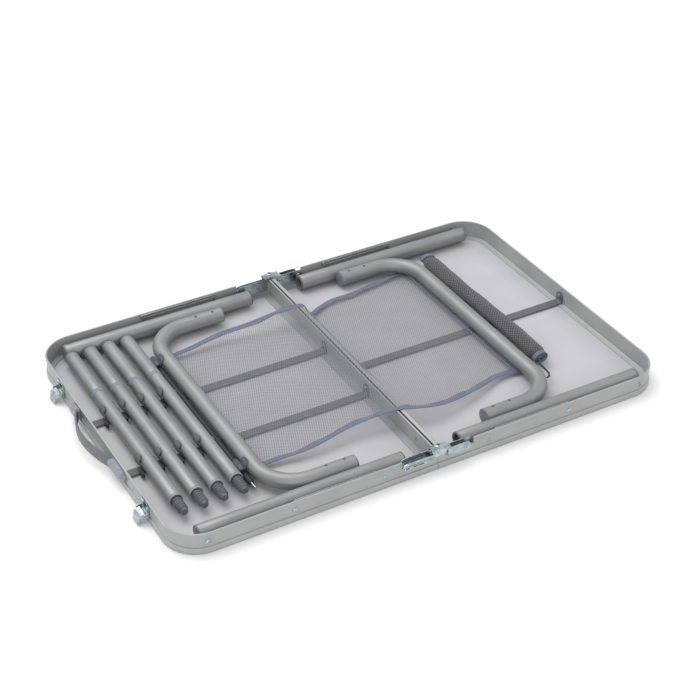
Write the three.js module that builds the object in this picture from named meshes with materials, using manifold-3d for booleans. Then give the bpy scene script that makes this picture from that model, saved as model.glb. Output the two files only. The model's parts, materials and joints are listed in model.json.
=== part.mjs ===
// A suitcase-style folding picnic table, lying open with its tabletop down and its leg gear stowed.
// Millimetres, +Z up. X runs along the table, Y across it (front is -Y), and the fold is near x = 0.
import * as THREE from 'three';
import { mergeVertices } from 'three/addons/utils/BufferGeometryUtils.js';
import Module from 'manifold-3d';

const wasm = await Module();
wasm.setup();

const gap = 0.3; // clearance between pieces that touch
const roundSides = 9; // half the facets around a tube

// Trays: two shallow halves that close on each other like a suitcase
const tableLength = 840;
const tableDepth = 550;
const cornerRadius = 55;
const rimTop = 35.8;
const foldHeight = 36;
const seamGap = 0.4;
const beadHeight = 10.5;
const wallInset = 1.5;
const wallThickness = 2;
const lipBottom = 4.5;
const lipTop = 5.7;
const lipReach = 9;
const faceFlange = 0.9;
const faceRecess = 0.2;
const railEnd = 262.2;
const railFlange = { left: 3.6, right: 6.1 };
const railLip = 14;
const railWall = 1.8;

// Reinforcing bars riveted across the back of each panel
const barWidth = 15.5;
const barBottom = 6;
const barTop = 8;
const tabTop = 26;
const tabThickness = 2;
const leftBarY = 68;

// Leg frames: two straight tubes and a bent crossbar on each half
const tubeRadius = 12.5;
const tubeBore = 11.3;
const legY = 250.5;
const legZ = 20.5;
const legPivotX = 372;
const legOuterEnd = 380;
const legInnerEnd = 49;
const pivotBossRadius = 5;
const pivotBossEnd = 269.5;
const crossbarX = 244.6;
const crossbarZ = 22.6;
const crossbarArmY = 225.3;
const crossbarArmEnd = 114;
const crossbarBend = 60;
const socketRadius = 11;
const socketBore = 8.9;
const socketDepth = 34;
const collarLength = 2;

// Screw-in extension legs, stored in the left half
const extensionX = [-375, -343.3, -311.7, -280];
const extensionZ = 20.6;
const extensionRadius = 11;
const extensionBore = 9.8;
const extensionFront = -172;
const extensionBack = 230;
const footRadius = 12.2;
const footFront = 212;
const footBack = 235;
const threadRadius = 8.5;
const plugTip = -202;
const clipArm = 1.6;
const clipTop = 25.6;
const clipWidth = 20;

// Folding wire stays between the long walls and the legs
const stayRadius = 1.75;
const stayZ = legZ;
const stayWallX = 237;
const stayElbowX = 103;
const stayLegX = 193;
const stayLowerY = 269.3;
const stayUpperY = 265.5;
const stayEyeRadius = 4;

// Centre hinges, handle and latches
const leafLength = 65;
const leafOuterY = 270.55;
const leafInnerY = 268.85;
const leafThickness = 1.3;
const knuckleRadius = 6;
const pinRadius = 2;
const pinHeadY = 266;
const handleReach = 440;
const strapFront = -42;
const strapBack = 84;
const strapBowY = 36;
const frontCoverLength = 52;
const backCoverLength = 28;
const strapThickness = 3;
const handleBottom = 10.8;
const latchY = 164;
const latchHingeX = -424.6;
const latchHingeZ = 15;
const keeperReach = 425;

// Storage net, its rod and its roll
const netThickness = 1;
const netFloor = 8.7;
const netFront = -152;
const netBack = 186;
const netEdgeX = 258;
const netTop = 34.9;
const netRodX = -262;
const netRodZ = 16;
const netRodRadius = 4;
const netClipY = 150;
const netRampEnd = 10;
const rollX = 280;

const halfLength = tableLength / 2;
const halfDepth = tableDepth / 2;
const wallFace = halfLength - wallInset; // outer face of the short walls
const wallInner = halfLength - wallInset - wallThickness;
const longWallInner = halfDepth - wallInset - wallThickness;

const colours = {
  silver: [0x9da0a1, 0.38, 0.9],
  panel: [0xc6c6ca, 0.6, 0],
  bar: [0x6f7072, 0.45, 0.4],
  darkPlastic: [0x55585c, 0.55, 0],
  greyPlastic: [0x8a8a90, 0.5, 0],
  zinc: [0xb8c8cc, 0.3, 0.9],
  net: [0xb0b0b4, 0.9, 0],
  roll: [0x6e6c70, 0.9, 0],
};

function finish(name) {
  const [color, roughness, metalness] = colours[name];
  return new THREE.MeshStandardMaterial({ color, roughness, metalness });
}

function addPiece(parent, name, geometry, finishName, position = [0, 0, 0]) {
  const mesh = new THREE.Mesh(geometry, finish(finishName));
  mesh.name = name;
  mesh.position.set(...position);
  parent.add(mesh);
}

// Booleans

function solidOf(geometry) {
  const bare = geometry.clone();
  bare.deleteAttribute('normal');
  bare.deleteAttribute('uv');
  const merged = mergeVertices(bare, 1e-4);
  const vertProperties = new Float32Array(merged.attributes.position.array);
  const triVerts = new Uint32Array(merged.index.array);
  return new wasm.Manifold(new wasm.Mesh({ numProp: 3, vertProperties, triVerts }));
}

function geometryOf(solid) {
  const mesh = solid.getMesh();
  const geometry = new THREE.BufferGeometry();
  geometry.setAttribute('position', new THREE.BufferAttribute(mesh.vertProperties, 3));
  geometry.setIndex(new THREE.BufferAttribute(mesh.triVerts, 1));
  return geometry;
}

function join(...geometries) {
  return geometryOf(geometries.map(solidOf).reduce((whole, next) => whole.add(next)));
}

function cut(geometry, ...tools) {
  return geometryOf(tools.map(solidOf).reduce((left, tool) => left.subtract(tool), solidOf(geometry)));
}

// Simple shapes

function box(x, y, z) {
  const [xLow, xHigh] = [Math.min(...x), Math.max(...x)];
  const geometry = new THREE.BoxGeometry(xHigh - xLow, y[1] - y[0], z[1] - z[0]);
  return geometry.translate((xLow + xHigh) / 2, (y[0] + y[1]) / 2, (z[0] + z[1]) / 2);
}

function polygon(points) {
  return new THREE.Shape(points.map(([x, y]) => new THREE.Vector2(x, y)));
}

function disc(radius, bore = 0) {
  const shape = new THREE.Shape().absarc(0, 0, radius, 0, 2 * Math.PI, false);
  if (bore > 0) shape.holes.push(new THREE.Path().absarc(0, 0, bore, 0, 2 * Math.PI, true));
  return shape;
}

function extrude(shape, depth, curveSegments = roundSides) {
  return new THREE.ExtrudeGeometry(shape, { depth, curveSegments, bevelEnabled: false });
}

// A plan shape raised from one height to another
function slabUp(shape, bottom, top, curveSegments = 6) {
  return extrude(shape, top - bottom, curveSegments).translate(0, 0, bottom);
}

// A shape drawn in X and Z, given a width across the table
function slabAcross(shape, centreY, width, curveSegments = 8) {
  return extrude(shape, width, curveSegments).rotateX(Math.PI / 2).translate(0, centreY + width / 2, 0);
}

function tubeAlongX(radius, bore, ends, y, z) {
  const [low, high] = [Math.min(...ends), Math.max(...ends)];
  return extrude(disc(radius, bore), high - low).rotateY(Math.PI / 2).translate(low, y, z);
}

function tubeAlongY(radius, bore, ends, x, z) {
  const [low, high] = [Math.min(...ends), Math.max(...ends)];
  return extrude(disc(radius, bore), high - low).rotateX(-Math.PI / 2).translate(x, low, z);
}

// One half's outline in plan, with rounded outer corners; side is -1 on the left and 1 on the right
function halfOutline(side, inset, seamX) {
  const x = halfLength - inset;
  const y = halfDepth - inset;
  const radius = cornerRadius - inset;
  const outward = side > 0 ? 0 : Math.PI;
  const shape = new THREE.Shape();
  shape.moveTo(side * seamX, -y);
  shape.lineTo(side * (x - radius), -y);
  shape.absarc(side * (x - radius), radius - y, radius, -Math.PI / 2, side > 0 ? 0 : -Math.PI, side < 0);
  shape.absarc(side * (x - radius), y - radius, radius, outward, Math.PI / 2, side < 0);
  shape.lineTo(side * seamX, y);
  return shape;
}

// A band that follows the three outer walls of one half
function wallBand(side, outerInset, innerInset, bottom, top) {
  const outer = slabUp(halfOutline(side, outerInset, seamGap), bottom, top);
  const inner = slabUp(halfOutline(side, innerInset, -cornerRadius), bottom - 1, top + 1);
  return cut(outer, inner);
}

function rim(side) {
  const inner = wallInset + wallThickness;
  const middle = wallInset + wallThickness / 2;
  return join(
    wallBand(side, wallInset, inner, 0, rimTop),
    wallBand(side, 0, middle, 0, beadHeight),
    wallBand(side, wallInset / 2, middle, rimTop - 1.6, rimTop),
    wallBand(side, inner - 1, inner + lipReach, lipBottom, lipTop),
    wallBand(side, inner - 1, inner + lipReach, 0, faceFlange),
  );
}

function centreRail(side) {
  const web = seamGap + railWall;
  const flange = side < 0 ? railFlange.left : railFlange.right;
  const flangeBottom = rimTop - 1.6;
  const section = polygon([
    [seamGap, 0], [railLip, 0], [railLip, faceFlange], [web, faceFlange],
    [web, lipBottom], [railLip, lipBottom], [railLip, lipTop], [web, lipTop],
    [web, flangeBottom], [flange, flangeBottom], [flange, rimTop], [seamGap, rimTop],
  ].map(([x, z]) => [side * x, z]));
  return slabAcross(section, 0, 2 * railEnd);
}

// The board's edges are rebated, so that its face stands between the flanges of the rim and the rail
function panel(side) {
  const inset = wallInset + wallThickness + gap;
  const board = slabUp(halfOutline(side, inset, seamGap + railWall + gap), faceFlange + gap, lipBottom - gap);
  const face = halfOutline(side, inset + lipReach, railLip + gap);
  return join(board, slabUp(face, faceRecess, faceFlange + 2 * gap));
}

function bar(side, y) {
  const inner = seamGap + railWall + gap;
  const outer = wallInner - gap;
  const across = [y - barWidth / 2, y + barWidth / 2];
  return join(
    box([side * inner, side * outer], across, [barBottom, barTop]),
    box([side * inner, side * (inner + tabThickness)], across, [barBottom, tabTop]),
    box([side * outer, side * (outer - tabThickness)], across, [barBottom, tabTop]),
  );
}

// Row of open-topped spring clips that the extension legs press into
function clipStrip(y) {
  const inner = extensionRadius + gap;
  const outer = inner + clipArm;
  const base = barTop + gap;
  const baseTop = base + 1.7;
  const first = extensionX[0] - outer;
  const last = extensionX[extensionX.length - 1] + outer;
  const shape = new THREE.Shape();
  shape.moveTo(last, base);
  shape.lineTo(first, base);
  for (const x of extensionX) {
    shape.lineTo(x - outer, baseTop);
    shape.lineTo(x - outer, clipTop);
    shape.lineTo(x - inner, clipTop);
    shape.absarc(x, extensionZ, inner, Math.PI, 2 * Math.PI, false);
    shape.lineTo(x + inner, clipTop);
    shape.lineTo(x + outer, clipTop);
    shape.lineTo(x + outer, baseTop);
  }
  return slabAcross(shape, y, clipWidth);
}

// Leg frames

function legTube(side, end) {
  const y = end * legY;
  const blank = tubeAlongX(tubeRadius, 0, [side * legInnerEnd, side * legOuterEnd], y, legZ);
  const bore = tubeAlongX(tubeBore, 0, [side * (legInnerEnd - 1), side * (legOuterEnd - 2)], y, legZ);
  const bossEnds = [end * (legY + tubeRadius - 0.8), end * pivotBossEnd];
  const boss = tubeAlongY(pivotBossRadius, 0, bossEnds, side * legPivotX, legZ);
  return join(cut(blank, bore), boss);
}

function socket(side, end) {
  const y = end * legY;
  const mouth = legInnerEnd - gap;
  return join(
    tubeAlongX(socketRadius, socketBore, [side * mouth, side * (legInnerEnd + socketDepth)], y, legZ),
    tubeAlongX(tubeRadius, socketBore, [side * (mouth - collarLength), side * mouth], y, legZ),
  );
}

// A path through given points that puts one section at each of them
class PointPath extends THREE.Curve {
  constructor(points) {
    super();
    this.points = points;
  }

  getPointAt(u, target = new THREE.Vector3()) {
    return target.copy(this.points[Math.round(u * (this.points.length - 1))]);
  }

  getTangentAt(u, target = new THREE.Vector3()) {
    const index = Math.round(u * (this.points.length - 1));
    const here = this.points[index];
    const before = this.points[Math.max(index - 1, 0)];
    const after = this.points[Math.min(index + 1, this.points.length - 1)];
    const arriving = here.clone().sub(before).normalize();
    const leaving = after.clone().sub(here).normalize();
    return target.copy(arriving).add(leaving).normalize();
  }
}

function crossbarPoints(side) {
  const bendSteps = 7;
  const points = [new THREE.Vector3(side * crossbarArmEnd, -crossbarArmY, crossbarZ)];
  for (const end of [-1, 1]) {
    for (let step = 0; step <= bendSteps; step += 1) {
      const turn = (Math.PI / 2) * (end < 0 ? step / bendSteps : 1 - step / bendSteps);
      const x = crossbarX - crossbarBend + crossbarBend * Math.sin(turn);
      const y = crossbarArmY - crossbarBend + crossbarBend * Math.cos(turn);
      points.push(new THREE.Vector3(side * x, end * y, crossbarZ));
    }
  }
  points.push(new THREE.Vector3(side * crossbarArmEnd, crossbarArmY, crossbarZ));
  return points;
}

function crossbar(side) {
  const path = new PointPath(crossbarPoints(side));
  const steps = path.points.length - 1;
  const section = disc(tubeRadius, tubeBore);
  return new THREE.ExtrudeGeometry(section, { extrudePath: path, steps, curveSegments: roundSides });
}

// Plastic clip that snaps over the crossbar and keeps the net rod against it
function netClip(y) {
  const width = 22;
  const ends = [y - width / 2, y + width / 2];
  const ring = tubeAlongY(tubeRadius + 1.1, tubeRadius + gap, ends, -crossbarX, crossbarZ);
  const opening = box([-crossbarX - 20, -crossbarX + 20], [ends[0] - 1, ends[1] + 1], [0, crossbarZ - 7]);
  const wings = [-1, 1].map((wing) => {
    const reach = [-crossbarX + wing * (tubeRadius + 0.7), -crossbarX + wing * (tubeRadius + 5.5)];
    return box(reach, ends, [netRodZ + netRodRadius + 0.5, netRodZ + netRodRadius + 2.5]);
  });
  return join(cut(ring, opening), ...wings);
}

function wireLink(side, end, fromX, toX, y) {
  const eye = (x) => {
    const reach = [end * y - stayRadius, end * y + stayRadius];
    return tubeAlongY(stayEyeRadius, 0, reach, side * x, stayZ);
  };
  const wire = extrude(disc(stayRadius), Math.abs(toX - fromX), 10).rotateY(Math.PI / 2);
  wire.translate(Math.min(side * fromX, side * toX), end * y, stayZ);
  return join(wire, eye(fromX), eye(toX));
}

// Hinges, handle and latches

function hingeLeaf(side, end) {
  const y = end * (side < 0 ? leafOuterY : leafInnerY);
  const plateBottom = 12;
  const plateTop = 33;
  const plate = polygon([
    [leafLength, plateBottom], [leafLength, plateTop], [14, plateTop], [4, foldHeight + 2],
    [-2, foldHeight], [2, plateTop - 4], [3, plateBottom],
  ].map(([x, z]) => [side * x, z]));
  const reach = [y - leafThickness / 2, y + leafThickness / 2];
  const body = join(
    slabAcross(plate, y, leafThickness),
    tubeAlongY(knuckleRadius, 0, reach, 0, foldHeight),
  );
  if (side > 0) {
    const hole = tubeAlongY(pinRadius + gap, 0, [reach[0] - 1, reach[1] + 1], 0, foldHeight);
    const washer = tubeAlongY(pivotBossRadius, 0, [y, end * (longWallInner - gap)], 60, 22);
    return cut(join(body, washer), hole);
  }
  const headTo = leafInnerY - leafThickness / 2 - gap;
  return join(
    body,
    tubeAlongY(pinRadius, 0, [y, end * pinHeadY], 0, foldHeight),
    tubeAlongY(knuckleRadius - 1.5, 0, [end * pinHeadY, end * headTo], 0, foldHeight),
  );
}

function handleStrap() {
  const bow = 4 * (handleReach - wallFace - 5) / 2;
  const outer = -(wallFace + 5);
  const inner = outer + strapThickness;
  const shape = new THREE.Shape();
  shape.moveTo(outer, strapFront);
  shape.quadraticCurveTo(outer - bow, strapBowY, outer, strapBack);
  shape.lineTo(inner, strapBack);
  shape.quadraticCurveTo(inner - bow, strapBowY, inner, strapFront);
  return slabUp(shape, handleBottom, handleBottom + 18, 16);
}

function handleCover(end) {
  const across = end > 0
    ? [strapBack + gap, strapBack + gap + backCoverLength]
    : [strapFront - gap - frontCoverLength, strapFront - gap];
  return box([-wallFace - gap, -wallFace - 8.5], across, [handleBottom, handleBottom + 19.5]);
}

function latchBase(y) {
  const back = -wallFace - gap;
  const front = back - 3.2;
  const ear = (end) => {
    const across = end > 0 ? [y + 12.3, y + 14.3] : [y - 14.3, y - 12.3];
    return box([front + 1, latchHingeX - 2.2], across, [latchHingeZ - 2.6, latchHingeZ + 3]);
  };
  return join(box([back, front], [y - 14.3, y + 14.3], [11.5, 32]), ear(-1), ear(1));
}

// Latch lever about its own hinge line: a plate with a hooked end
// A lever plate that stands off the wall and hangs down from its hinge
function latchLever() {
  const width = 24;
  const plate = polygon([
    [0, -1], [-7.6, -1.2], [-9.6, -12.4], [-11.2, -12.2], [-9, 0.4], [0, 1],
  ]);
  return join(slabAcross(plate, 0, width), tubeAlongY(2, 0, [-width / 2, width / 2], 0, 0));
}
function latchKeeper(y) {
  const back = wallFace + gap;
  const front = back + 2;
  const hook = polygon([
    [back, 12], [front, 12], [front, 24], [keeperReach, 24], [keeperReach, 29],
    [keeperReach - 1.6, 29], [keeperReach - 1.6, 25.6], [front, 25.6], [front, 31], [back, 31],
  ]);
  return slabAcross(hook, y, 24);
}

// Soft goods: plain solids that hold the net's place

function netLeft() {
  const ramp = polygon([
    [-netEdgeX, netFloor], [-netEdgeX + 30, netFloor], [-netRampEnd, netTop - netThickness],
    [-netRampEnd, netTop], [-netEdgeX + 30, netFloor + netThickness], [-netEdgeX, netFloor + netThickness],
  ]);
  return slabAcross(ramp, (netFront + netBack) / 2, netBack - netFront);
}

function netRight() {
  return box([18, netEdgeX], [netFront, netBack], [netFloor, netFloor + netThickness]);
}

function netRoll() {
  const section = new THREE.Shape().absellipse(rollX, crossbarZ - 1.6, 15.5, 10.7, 0, 2 * Math.PI, false, 0);
  return slabAcross(section, 35, 340, 14);
}

// Extension legs, drawn along Y about their own axis

function extensionTube() {
  return tubeAlongY(extensionRadius, extensionBore, [extensionFront, extensionBack], 0, 0);
}

function extensionFoot() {
  const cup = tubeAlongY(footRadius, 0, [footFront, footBack], 0, 0);
  return cut(cup, tubeAlongY(extensionRadius + gap, 0, [footFront - 1, extensionBack + gap], 0, 0));
}

function extensionPlug() {
  const shoulder = extensionFront - gap;
  const stub = extensionBore - gap;
  const profile = [
    [0, plugTip], [6, plugTip], [threadRadius, plugTip + 3], [threadRadius, shoulder - 4],
    [extensionRadius, shoulder - 4], [extensionRadius, shoulder], [stub, shoulder],
    [stub, shoulder + 22], [0, shoulder + 22],
  ];
  return new THREE.LatheGeometry(profile.map(([r, y]) => new THREE.Vector2(r, y)), 2 * roundSides);
}

// Assembly

const table = new THREE.Group();
table.position.x = (handleReach - keeperReach) / 2;

for (const [side, name] of [[-1, 'left'], [1, 'right']]) {
  const half = new THREE.Group();
  addPiece(half, `${name}_rim`, rim(side), 'silver');
  addPiece(half, `${name}_centre_rail`, centreRail(side), 'silver');
  addPiece(half, `${name}_panel`, panel(side), 'panel');

  const legFrame = new THREE.Group();
  addPiece(legFrame, `${name}_leg_crossbar`, crossbar(side), 'silver');
  for (const [end, place] of [[-1, 'front'], [1, 'back']]) {
    addPiece(half, `${name}_hinge_leaf_${place}`, hingeLeaf(side, end), 'zinc');
    addPiece(legFrame, `${name}_leg_tube_${place}`, legTube(side, end), 'silver');
    addPiece(legFrame, `${name}_leg_socket_${place}`, socket(side, end), 'darkPlastic');
    const lower = wireLink(side, end, stayWallX, stayElbowX, stayLowerY);
    const upper = wireLink(side, end, stayElbowX, stayLegX, stayUpperY);
    addPiece(half, `${name}_stay_lower_${place}`, lower, 'zinc');
    addPiece(half, `${name}_stay_upper_${place}`, upper, 'zinc');
  }
  half.add(legFrame);
  table.add(half);
}

const leftFittings = new THREE.Group();
const rightFittings = new THREE.Group();
for (const [end, place] of [[-1, 'front'], [1, 'back']]) {
  addPiece(leftFittings, `left_bar_${place}`, bar(-1, end * leftBarY), 'bar');
  addPiece(leftFittings, `clip_strip_${place}`, clipStrip(end * leftBarY), 'darkPlastic');
  addPiece(leftFittings, `handle_cover_${place}`, handleCover(end), 'greyPlastic');
  addPiece(leftFittings, `latch_base_${place}`, latchBase(end * latchY), 'zinc');
  const hinge = [latchHingeX, end * latchY, latchHingeZ];
  addPiece(leftFittings, `latch_lever_${place}`, latchLever(), 'zinc', hinge);
  addPiece(leftFittings, `net_clip_${place}`, netClip(end * netClipY), 'darkPlastic');
  addPiece(rightFittings, `latch_keeper_${place}`, latchKeeper(end * latchY), 'zinc');
}
addPiece(leftFittings, 'handle_strap', handleStrap(), 'greyPlastic');
addPiece(leftFittings, 'net_left', netLeft(), 'net');
addPiece(leftFittings, 'net_rod', tubeAlongY(netRodRadius, 0, [-198, 155], netRodX, netRodZ), 'darkPlastic');
addPiece(rightFittings, 'right_bar', bar(1, 0), 'bar');
addPiece(rightFittings, 'net_right', netRight(), 'net');
addPiece(rightFittings, 'net_roll', netRoll(), 'roll');
table.add(leftFittings, rightFittings);

extensionX.forEach((x, index) => {
  const place = [x, 0, extensionZ];
  const name = `extension_leg_${index + 1}`;
  addPiece(table, `${name}_tube`, extensionTube(), 'silver', place);
  addPiece(table, `${name}_plug`, extensionPlug(), 'darkPlastic', place);
  addPiece(table, `${name}_foot`, extensionFoot(), 'darkPlastic', place);
});

export default table;
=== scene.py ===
"""Folding picnic table, lying open with its tabletop down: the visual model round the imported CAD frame."""

import json
import math

import bmesh
import bpy
from mathutils import Matrix, Vector, noise


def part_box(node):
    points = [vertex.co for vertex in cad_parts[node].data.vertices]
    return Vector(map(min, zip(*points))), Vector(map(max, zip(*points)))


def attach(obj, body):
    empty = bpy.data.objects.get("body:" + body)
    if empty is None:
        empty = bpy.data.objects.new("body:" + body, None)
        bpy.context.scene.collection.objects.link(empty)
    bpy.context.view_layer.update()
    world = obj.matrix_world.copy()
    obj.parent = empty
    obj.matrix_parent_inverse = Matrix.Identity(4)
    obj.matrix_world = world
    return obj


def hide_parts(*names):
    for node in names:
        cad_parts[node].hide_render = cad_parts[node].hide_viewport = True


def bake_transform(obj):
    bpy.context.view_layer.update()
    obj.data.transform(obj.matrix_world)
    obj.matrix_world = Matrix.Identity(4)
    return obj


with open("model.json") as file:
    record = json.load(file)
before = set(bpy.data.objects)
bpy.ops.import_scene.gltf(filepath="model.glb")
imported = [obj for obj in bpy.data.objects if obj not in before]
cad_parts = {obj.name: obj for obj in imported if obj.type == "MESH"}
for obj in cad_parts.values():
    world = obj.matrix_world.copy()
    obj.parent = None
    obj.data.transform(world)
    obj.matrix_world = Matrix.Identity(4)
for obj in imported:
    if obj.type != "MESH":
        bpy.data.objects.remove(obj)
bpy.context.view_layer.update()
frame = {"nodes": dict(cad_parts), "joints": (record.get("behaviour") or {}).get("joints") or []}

MM = 0.001

SIDES = {"left": -1, "right": 1}
ENDS = {"front": -1, "back": 1}


def joint_place(name):
    """Where a joint of the frame turns, in metres."""
    return next(j["pos_m"] for j in frame["joints"] if j["name"] == name)


SEAM_X = joint_place("fold")[0] / MM


def span(node):
    """A CAD node's low and high corners, in millimetres, with x counted from the seam."""
    low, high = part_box(node)
    shift = Vector((SEAM_X, 0, 0))
    return Vector(low) / MM - shift, Vector(high) / MM - shift


# ---------------------------------------------------------------- materials


def colour(hex_code):
    """An sRGB hex colour as linear RGBA."""
    channels = [int(hex_code[i:i + 2], 16) / 255 for i in (1, 3, 5)]
    linear = [c / 12.92 if c <= 0.04045 else ((c + 0.055) / 1.055) ** 2.4 for c in channels]
    return (*linear, 1)


def node(tree, kind, links=(), **settings):
    """Adds a shader node, sets its properties and inputs, and links other nodes' outputs into it."""
    made = tree.nodes.new(kind)
    for name, value in settings.items():
        if name.startswith("in_"):
            key = name[3:]
            made.inputs[int(key) if key.isdigit() else key.replace("_", " ")].default_value = value
        else:
            setattr(made, name, value)
    for source, output, target in links:
        tree.links.new(source.outputs[output], made.inputs[target])
    return made


def new_material(name, base, metallic, roughness, **surface):
    """A material with a Principled shader; returns it, its node tree, the shader and a coordinate node."""
    material = bpy.data.materials.new(name)
    material.use_nodes = True
    tree = material.node_tree
    shader = tree.nodes["Principled BSDF"]
    shader.inputs["Base Color"].default_value = colour(base)
    shader.inputs["Metallic"].default_value = metallic
    shader.inputs["Roughness"].default_value = roughness
    for socket, value in surface.items():
        shader.inputs[socket.replace("_", " ")].default_value = value
    place = node(tree, "ShaderNodeTexCoord")
    return material, tree, shader, place


def speckle(tree, place, size_mm, detail=3.0):
    """Noise whose grains are about size_mm across."""
    return node(tree, "ShaderNodeTexNoise", [(place, "Object", "Vector")],
                in_Scale=1 / (size_mm * MM), in_Detail=detail)


def spread(tree, pattern, low, high):
    """Stretches a pattern's middle range to run from low to high."""
    return node(tree, "ShaderNodeMapRange", [(pattern, "Fac", "Value")],
                in_From_Min=0.3, in_From_Max=0.7, in_To_Min=low, in_To_Max=high)


def tint(tree, shader, factor, dark, light):
    """Colours the shader between two hex colours by a factor."""
    mix = node(tree, "ShaderNodeMix", [(factor, "Result", "Factor")], data_type="RGBA",
               in_6=colour(dark), in_7=colour(light))
    tree.links.new(mix.outputs[2], shader.inputs["Base Color"])


def clouds(tree, shader, place, size_mm, dark, light, detail=3.0):
    """Soft patches between two hex colours, about size_mm across."""
    tint(tree, shader, spread(tree, speckle(tree, place, size_mm, detail), 0.0, 1.0), dark, light)


def bump(tree, shader, pattern, height_mm, output="Fac"):
    """Raises the surface by a pattern, up to height_mm."""
    relief = node(tree, "ShaderNodeBump", [(pattern, output, "Height")],
                  in_Strength=1.0, in_Distance=height_mm * MM)
    tree.links.new(relief.outputs["Normal"], shader.inputs["Normal"])


def silver_powder_coat(name, dark, light, metallic, roughness):
    """Silver powder coat on aluminium: a soft grey sheen with a faint orange-peel skin."""
    material, tree, shader, place = new_material(name, light, metallic, roughness)
    clouds(tree, shader, place, 60, dark, light, 2.0)
    rough = spread(tree, speckle(tree, place, 25), roughness - 0.05, roughness + 0.06)
    tree.links.new(rough.outputs["Result"], shader.inputs["Roughness"])
    bump(tree, shader, speckle(tree, place, 1.6), 0.05)
    return material


def laminate_board():
    """Grey laminate on the back of the board: pale, slightly blue, with a fine matt grain."""
    material, tree, shader, place = new_material("grey_laminate", "#bcbcbf", 0.0, 0.45)
    clouds(tree, shader, place, 90, "#b9b9bc", "#c0c0c3", 2.0)
    bump(tree, shader, speckle(tree, place, 1.2), 0.03)
    return material


def grey_enamel():
    """Dark grey stoved enamel on steel strip: satin, with a little texture that scatters light."""
    material, tree, shader, place = new_material("grey_enamel_steel", "#5f6063", 0.0, 0.45)
    clouds(tree, shader, place, 12, "#5a5b5e", "#67686b")
    bump(tree, shader, speckle(tree, place, 0.9), 0.06)
    return material


def zinc_plate():
    """Bright zinc plate with a clear blue passivate: cool silver with faint blue-green blotches."""
    material, tree, shader, place = new_material("zinc_plated_steel", "#c3cfd2", 1.0, 0.28)
    clouds(tree, shader, place, 9, "#93a2a5", "#bcc7ca")
    rough = spread(tree, speckle(tree, place, 4), 0.2, 0.4)
    tree.links.new(rough.outputs["Result"], shader.inputs["Roughness"])
    bump(tree, shader, speckle(tree, place, 0.8), 0.02)
    return material


def bare_steel():
    """Drawn steel wire and rivets: a darker, brighter metal."""
    material, tree, shader, place = new_material("drawn_steel", "#a5a9ab", 1.0, 0.3)
    clouds(tree, shader, place, 5, "#8f9496", "#b4b8ba")
    return material


def moulded_plastic(name, dark, light, roughness=0.5):
    """Moulded polypropylene: matt with a fine spark-eroded grain."""
    material, tree, shader, place = new_material(name, light, 0.0, roughness, IOR=1.49)
    clouds(tree, shader, place, 7, dark, light)
    bump(tree, shader, speckle(tree, place, 0.5), 0.04)
    return material


NET_CELL_MM = 4.2  # drawn coarser than a usual net of 2 to 3 mm, so that the holes show


def woven_net(name, dark, light, openness):
    """Knitted polyester net: light threads round small diamond holes that let the board show through."""
    material, tree, shader, _ = new_material(name, light, 0.0, 0.8, Sheen_Weight=0.2)
    cloth = node(tree, "ShaderNodeUVMap", uv_map="cloth")
    halves = []
    for along, across in ((0.75, 0.95), (1.15, -0.45)):
        slanted = node(tree, "ShaderNodeVectorMath", [(cloth, "UV", 0)], operation="DOT_PRODUCT",
                       in_1=(along / (NET_CELL_MM * MM), across / (NET_CELL_MM * MM), 0))
        wave = node(tree, "ShaderNodeMath", [(slanted, "Value", 0)], operation="PINGPONG", in_1=0.5)
        halves.append(wave)
    nearest = node(tree, "ShaderNodeMath", [(halves[0], 0, 0), (halves[1], 0, 1)], operation="MINIMUM")
    thread = node(tree, "ShaderNodeMath", [(nearest, 0, 0)], operation="LESS_THAN", in_1=openness)
    tree.links.new(thread.outputs[0], shader.inputs["Alpha"])
    fleck = spread(tree, node(tree, "ShaderNodeTexNoise", [(cloth, "UV", "Vector")],
                              in_Scale=1 / (2.0 * MM)), 0.0, 1.0)
    tint(tree, shader, fleck, dark, light)
    bump(tree, shader, nearest, 0.4, output=0)
    return material


def binding_tape():
    """Lavender-grey polyester binding: fine ribs across a soft tape, with a little sheen."""
    material, tree, shader, place = new_material("binding_tape", "#6b6e84", 0.0, 0.8, Sheen_Weight=0.1)
    clouds(tree, shader, place, 3, "#606278", "#73768d")
    bump(tree, shader, speckle(tree, place, 0.7), 0.15)
    return material


def rolled_net():
    """Many layers of the same net rolled up, with a diamond grain; the holes between the threads are painted
    shade, near black.
    """
    material, tree, shader, _ = new_material("rolled_net", "#5a595d", 0.0, 0.85, Sheen_Weight=0.25)
    cloth = node(tree, "ShaderNodeUVMap", uv_map="cloth")
    waves = []
    for slope in (1, -1):
        slanted = node(tree, "ShaderNodeVectorMath", [(cloth, "UV", 0)], operation="DOT_PRODUCT",
                       in_1=(0.72 / (NET_CELL_MM * MM), slope * 0.72 / (NET_CELL_MM * MM), 0))
        waves.append(node(tree, "ShaderNodeMath", [(slanted, "Value", 0)], operation="PINGPONG", in_1=0.5))
    nearest = node(tree, "ShaderNodeMath", [(waves[0], 0, 0), (waves[1], 0, 1)], operation="MINIMUM")
    depth = node(tree, "ShaderNodeMapRange", [(nearest, 0, "Value")],
                 in_From_Min=0.08, in_From_Max=0.3, in_To_Min=1.0, in_To_Max=0.0)
    # Painted shade: the holes between the threads go near black, as shade lies inside the roll.
    tint(tree, shader, depth, "#19191c", "#605f64")
    bump(tree, shader, depth, 0.5, output=0)
    return material


def studio_floor():
    """Plain pale studio paper."""
    material, tree, shader, place = new_material("studio_paper", "#fbfbfb", 0.0, 0.9)
    clouds(tree, shader, place, 400, "#fafafa", "#fcfcfc", 2.0)
    return material


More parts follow.
